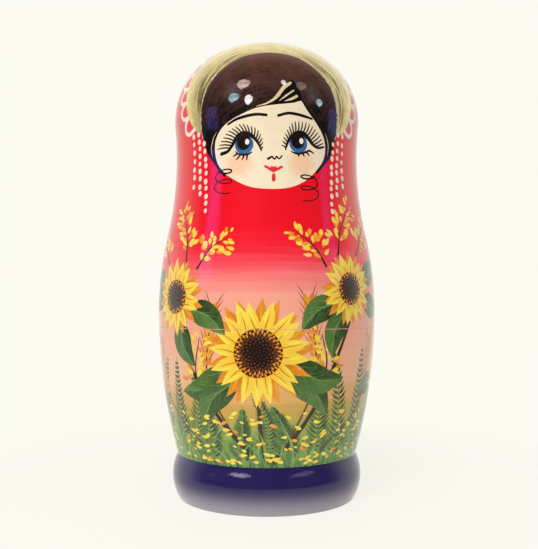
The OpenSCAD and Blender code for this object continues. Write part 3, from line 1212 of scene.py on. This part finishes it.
MATERIALS = {
    "ground": ground_paint("ground_paint"),
    "navy": navy_with_painted_floor_reflection("navy_with_painted_floor_reflection"),
    "wood": linden_wood("linden_wood"),
    "skin": skin_paint("skin_paint"),
    "seam": pigment("seam_paint", (230, 160, 132), (250, 208, 186)),
    "hair": pigment("hair_paint", (8, 4, 5), (116, 72, 60)),
    # Pale grey blue of the painted highlight along the edge of the hair
    "straw": pigment("straw_paint", (190, 162, 114), (250, 232, 192)),
    "painted_highlight": pigment("painted_highlight_paint", (116, 118, 134), (228, 230, 238)),
    "gold": pigment("gold_paint", (108, 72, 24), (255, 235, 154), metallic=0.6, least=0.16, most=0.34),
    "white": pigment("white_paint", (244, 206, 190), (255, 240, 228)),
    "iris": pigment("iris_paint", (22, 62, 112), (58, 124, 182)),
    "black": pigment("black_paint", (14, 9, 9), (86, 52, 44)),
    "lips": pigment("lip_paint", (214, 32, 42), (242, 66, 68)),
    "yellow": pigment("yellow_paint", (250, 184, 34), (255, 236, 92)),
    "amber": pigment("amber_paint", (206, 100, 22), (255, 178, 56)),
    "leaf": pigment("leaf_paint", (26, 44, 30), (112, 150, 76)),
    "grass": pigment("grass_paint", (52, 96, 46), (156, 190, 92)),
    "brown": pigment("brown_paint", (34, 22, 18), (128, 78, 50)),
}


# The dolls

FINE_PITCH = 2.4
FINE_WOOD = 6.0
INNER_SPREAD = 1.7

# Share of the strokes on the largest doll, on the next ones and on the small ones
FINENESS = (1.0, 0.62, 0.4)
FIRST_SMALL = 5
PAINTINGS = {fineness: paint_doll(fineness) for fineness in FINENESS}
MESHES = {}


def add_piece(name, skin, fineness, base, size):
    """One painted piece. Dolls of one fineness have the same painting, so later ones copy the first mesh."""
    if (skin, fineness) in MESHES:
        mesh = MESHES[skin, fineness].copy()
    else:
        spread = 1.0 if fineness == 1 else INNER_SPREAD
        mesh = make_mesh(name, skin, PAINTINGS[fineness], FINE_PITCH * spread, FINE_WOOD * spread)
        MESHES[skin, fineness] = mesh
    mesh.name = name
    piece = new_object("painted_" + name, mesh)
    piece.location = (0, 0, base)
    piece.scale = (size, size, size)
    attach(piece, name)
    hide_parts(name)


for number in sorted({int(name.split("_")[1]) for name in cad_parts}):
    fineness = FINENESS[0 if number == 1 else 1 if number < FIRST_SMALL else 2]
    solid = f"doll_{number}_solid"
    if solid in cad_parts:
        low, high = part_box(solid)
        add_piece(solid, SOLID_SKIN, fineness, low.z, (high.z - low.z) / (DOLL_H * MM))
    else:
        bottom = f"doll_{number}_bottom_half"
        top = f"doll_{number}_top_half"
        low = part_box(bottom)[0].z
        size = (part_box(top)[1].z - low) / (DOLL_H * MM)
        add_piece(bottom, BOTTOM_SKIN, fineness, low, size)
        add_piece(top, TOP_SKIN, fineness, low, size)


# Floor, light and camera

IMAGE_W, IMAGE_H = 538, 549
FOCAL_PX = 720
AXIS_PX = (266.7, 305.4)
CAMERA_AT = (0, -0.410, 0.1058)
PAPER = srgb(252, 251, 242)
FLOOR_R = 0.9
FLOOR_DROP = 0.0002


def make_floor():
    """Pale table top that fades into the background, and keeps the doll's shadow."""
    turns = np.linspace(0, 2 * math.pi, 96)[:-1]
    rim = [(FLOOR_R * math.cos(turn), FLOOR_R * math.sin(turn), -FLOOR_DROP) for turn in turns]
    mesh = bpy.data.meshes.new("floor")
    mesh.from_pydata(rim, [], [list(range(len(rim)))])
    material, tree = new_tree("floor")
    place = object_place(tree)
    away = node(tree, "VectorMath", {0: place}, operation="LENGTH").outputs["Value"]
    fade = ease(tree, away, 0.08, 0.32)
    grain = noise(tree, place, 300)
    colour = blend(tree, grain, srgb(250, 248, 240), srgb(254, 252, 245))
    matt = node(tree, "BsdfPrincipled", {"Base Color": colour, "Roughness": 0.5, "Specular IOR Level": 0.2})
    glow = node(tree, "Emission", {"Color": PAPER, "Strength": 1.03})
    path = node(tree, "LightPath")
    rays = {0: path.outputs["Is Camera Ray"], 1: path.outputs["Is Glossy Ray"]}
    seen = node(tree, "Math", rays, operation="MAXIMUM")
    pale = node(tree, "Math", {0: seen.outputs[0], 1: 0.8}, operation="MULTIPLY")
    top = mixed(tree, pale.outputs[0], matt, glow)
    show(tree, mixed(tree, fade, top, node(tree, "BsdfTransparent")))
    mesh.materials.append(material)
    floor = new_object("floor", mesh)


def make_world():
    """Pale room: white behind the doll and at its sides, dim towards the viewer in the gloss."""
    world = bpy.data.worlds.new("studio")
    bpy.context.scene.world = world
    world.use_nodes = True
    tree = world.node_tree
    tree.nodes.clear()
    path = node(tree, "LightPath")
    way = node(tree, "TexCoord").outputs["Generated"]
    depth = node(tree, "SeparateXYZ", {0: way}).outputs["Y"]
    room = node(tree, "MapRange", {"Value": depth, "From Min": -0.25, "From Max": 0.42,
                                   "To Min": 0.07, "To Max": 1.0}, interpolation_type="SMOOTHSTEP")
    ambient = node(tree, "Background", {"Color": (1, 1, 1, 1), "Strength": 0.42})
    gloss = node(tree, "Background", {"Color": PAPER, "Strength": room.outputs[0]})
    paper = node(tree, "Background", {"Color": PAPER, "Strength": 1.0})
    lit = mixed(tree, path.outputs["Is Glossy Ray"], ambient, gloss)
    seen = mixed(tree, path.outputs["Is Camera Ray"], lit, paper)
    show(tree, seen, "OutputWorld")


def make_lamp(name, place, aim, size, power, colour):
    """Square soft box that faces a point and isn't mirrored."""
    light = bpy.data.lights.new(name, "AREA")
    light.shape = "SQUARE"
    light.size = size
    light.energy = power
    light.color = colour
    lamp = new_object(name, light)
    lamp.location = place
    lamp.rotation_euler = (Vector(aim) - Vector(place)).to_track_quat("-Z", "Y").to_euler()
    lamp.visible_glossy = False
    lamp.visible_camera = False


MIDDLE = (0, 0, 0.12)
CARD_AWAY = 0.09


def mirror_way(across, up):
    """A point of the doll, and the way in which the viewer looks on after the lacquer there."""
    ups = np.array([up])
    points, normals = SOLID_SKIN.outline(ups, SOLID_SKIN.run_at(ups))
    angle = (across + FACE_TURN) / HEAD_R
    round_it = np.array([[math.sin(angle), -math.cos(angle), 0], [0, 0, 1]])
    point = points[0] @ round_it * MM
    normal = normals[0] @ round_it
    way = point - CAMERA_AT
    way /= np.linalg.norm(way)
    return point, way - 2 * np.dot(way, normal) * normal


def mottle(tree, place, strength, stretch):
    """Uneven brightness."""
    uneven = noise(tree, place, 1, stretch)
    return node(tree, "MapRange", {"Value": uneven, "From Min": 0.32, "From Max": 0.66,
                                   "To Min": 0.25 * strength, "To Max": strength}).outputs[0]


def make_card(name, place, towards, width, low, high, colour, glow):
    """Upright card that is seen only in the gloss of the lacquer, between two heights from its place."""
    mesh = bpy.data.meshes.new(name)
    x = width / 2
    mesh.from_pydata([(-x, 0, low), (x, 0, low), (x, 0, high), (-x, 0, high)], [], [(0, 1, 2, 3)])
    material, tree = new_tree(name)
    light = node(tree, "Emission", {"Color": (*colour, 1), "Strength": glow(tree, object_place(tree))})
    clear = node(tree, "BsdfTransparent")
    both = node(tree, "AddShader", {0: light.outputs[0], 1: clear.outputs[0]})
    show(tree, both)
    mesh.materials.append(material)
    card = new_object(name, mesh)
    card.location = place
    card.rotation_euler = Vector(towards).to_track_quat("Y", "Z").to_euler()
    card.visible_camera = False
    card.visible_diffuse = False
    card.visible_shadow = False
    return card


# Gleams and soft sheens on the hair: where they sit, their width and height there, colour, strength and the
# share of their reach at which they are full
GLINTS = [
    ((-11.6, 212.0), (5.0, 6.0), (1, 1, 1), 34, 0.74),
    ((-19.5, 213.4), (6.8, 5.4), (0.62, 0.85, 1), 15, 0.74),
    ((-14.5, 220.1), (7.6, 6.0), (1, 0.78, 0.74), 16, 0.74),
    ((6.0, 220.7), (2.6, 3.4), (1, 1, 1), 24, 0.74),
    ((15.4, 219.7), (6.2, 5.0), (0.9, 0.85, 0.55), 4, 0.74),
    ((25.6, 212.1), (4.4, 4.2), (0.62, 0.9, 1), 16, 0.74),
    ((-20.5, 217.5), (15, 13), (0.85, 0.88, 1), 1.6, 0.0),
    ((21.5, 216.0), (12, 13), (0.7, 0.88, 1), 1.2, 0.0),
]


def make_glint(name, spot, size, colour, strength, full):
    """Gleam of uneven shape."""
    point, way = mirror_way(*spot)
    width, height = size * (1 + 2 * CARD_AWAY / (np.array([HEAD_R, HEAD_CURVE]) * MM)) * MM

    def glow(tree, place):
        scaled = node(tree, "Mapping", {"Vector": place, "Scale": (2 / width, 0, 2 / height)}).outputs[0]
        reach = node(tree, "VectorMath", {0: scaled}, operation="LENGTH").outputs["Value"]
        uneven = sum_of(tree, reach, (noise(tree, place, 75, detail=1), 0.9))
        return product(tree, ease(tree, uneven, 0.92, full), mottle(tree, place, strength, (60, 1, 60)))

    make_card(name, point + CARD_AWAY * way, way, width, -height / 2, height / 2, colour, glow)


# Windows that the lacquer mirrors beside the face, on the hair and below it on the red: where their middle
# sits, width there, lowest and highest part with the lengths over which they fade, and strength
WINDOW_UP = 205
WINDOW_COLOUR = (0.28, 0.20, 1.0)
WINDOWS = [
    (-32.5, 10.6, (0.2113, 0.0008), (0.227, 0.004), 2.6),
    (34.5, 7.8, (0.2113, 0.0008), (0.227, 0.004), 2.2),
    (-30.7, 10.5, (0.106, 0.05), (0.2075, 0.0012), 3.4),
    (29.2, 8.0, (0.106, 0.04), (0.2075, 0.0012), 1.7),
]


def make_window(name, across, wide, foot, head, strength):
    point, way = mirror_way(across, WINDOW_UP)
    x, y, _ = point + CARD_AWAY * way
    width = wide * (1 + 2 * CARD_AWAY / (HEAD_R * MM)) * MM

    def glow(tree, place):
        apart = node(tree, "SeparateXYZ", {0: place}).outputs
        aside = node(tree, "Math", {0: apart["X"]}, operation="ABSOLUTE").outputs[0]
        sides = ease(tree, aside, 0.5 * width, 0.12 * width)
        low = ease(tree, apart["Z"], foot[0], sum(foot))
        high = ease(tree, apart["Z"], head[0], head[0] - head[1])
        return product(tree, sides, low, high, mottle(tree, place, strength, (160, 1, 420)))

    make_card(name, (x, y, 0), (way[0], way[1], 0), width, foot[0], head[0], WINDOW_COLOUR, glow)


# Gleams along the upper edge of the plinth: where they sit, their width there, colour and strength
SHELF_DEEP = 0.05
SHELVES = [
    ((-16.6, 21.3), 13.0, (0.86, 0.88, 1), 9),
    ((15.9, 21.5), 17.0, (0.86, 0.88, 1), 2),
    ((-32.5, 20.0), 8.0, (0.15, 0.3, 1), 1.6),
]


def make_shelf(name, spot, wide, colour, strength):
    """Level card over the floor that shines downwards, so that only the plinth mirrors it."""
    point, way = mirror_way(*spot)
    width = wide * (1 + 2 * CARD_AWAY / (PLINTH_R * MM)) * MM

    def glow(tree, place):
        scaled = node(tree, "Mapping", {"Vector": place, "Scale": (2 / width, 0, 2 / SHELF_DEEP)}).outputs[0]
        reach = node(tree, "VectorMath", {0: scaled}, operation="LENGTH").outputs["Value"]
        uneven = sum_of(tree, reach, (noise(tree, place, 1, (170, 1, 60), detail=4), 2.0))
        above = node(tree, "NewGeometry").outputs["Backfacing"]
        below = node(tree, "Math", {0: 1.0, 1: above}, operation="SUBTRACT").outputs[0]
        bright = mottle(tree, place, strength, (240, 1, 60))
        return product(tree, below, ease(tree, uneven, 0.95, 0.6), bright)

    place = point + CARD_AWAY * way
    card = make_card(name, place, way, width, -SHELF_DEEP / 2, SHELF_DEEP / 2, colour, glow)
    card.rotation_euler = (math.pi / 2, 0, math.atan2(way[0], -way[1]))


def make_lights():
    make_lamp("key", (-0.35, -1.05, 0.9), MIDDLE, 0.9, 13.6, (1, 0.98, 0.95))
    for number, row in enumerate(GLINTS):
        make_glint(f"glint_{number}", *row)
    for number, row in enumerate(WINDOWS):
        make_window(f"window_{number}", *row)
    for number, row in enumerate(SHELVES):
        make_shelf(f"shelf_{number}", *row)


def make_camera():
    data = bpy.data.cameras.new("camera")
    data.sensor_width = 36
    data.lens = FOCAL_PX * data.sensor_width / IMAGE_H
    data.shift_x = (IMAGE_W / 2 - AXIS_PX[0]) / IMAGE_H
    data.shift_y = (AXIS_PX[1] - IMAGE_H / 2) / IMAGE_H
    data.clip_start = 0.01
    camera = new_object("camera", data)
    camera.location = CAMERA_AT
    camera.rotation_euler = (math.pi / 2, 0, 0)
    bpy.context.scene.camera = camera


make_floor()
make_world()
make_lights()
make_camera()
bpy.context.scene.view_settings.view_transform = "Standard"
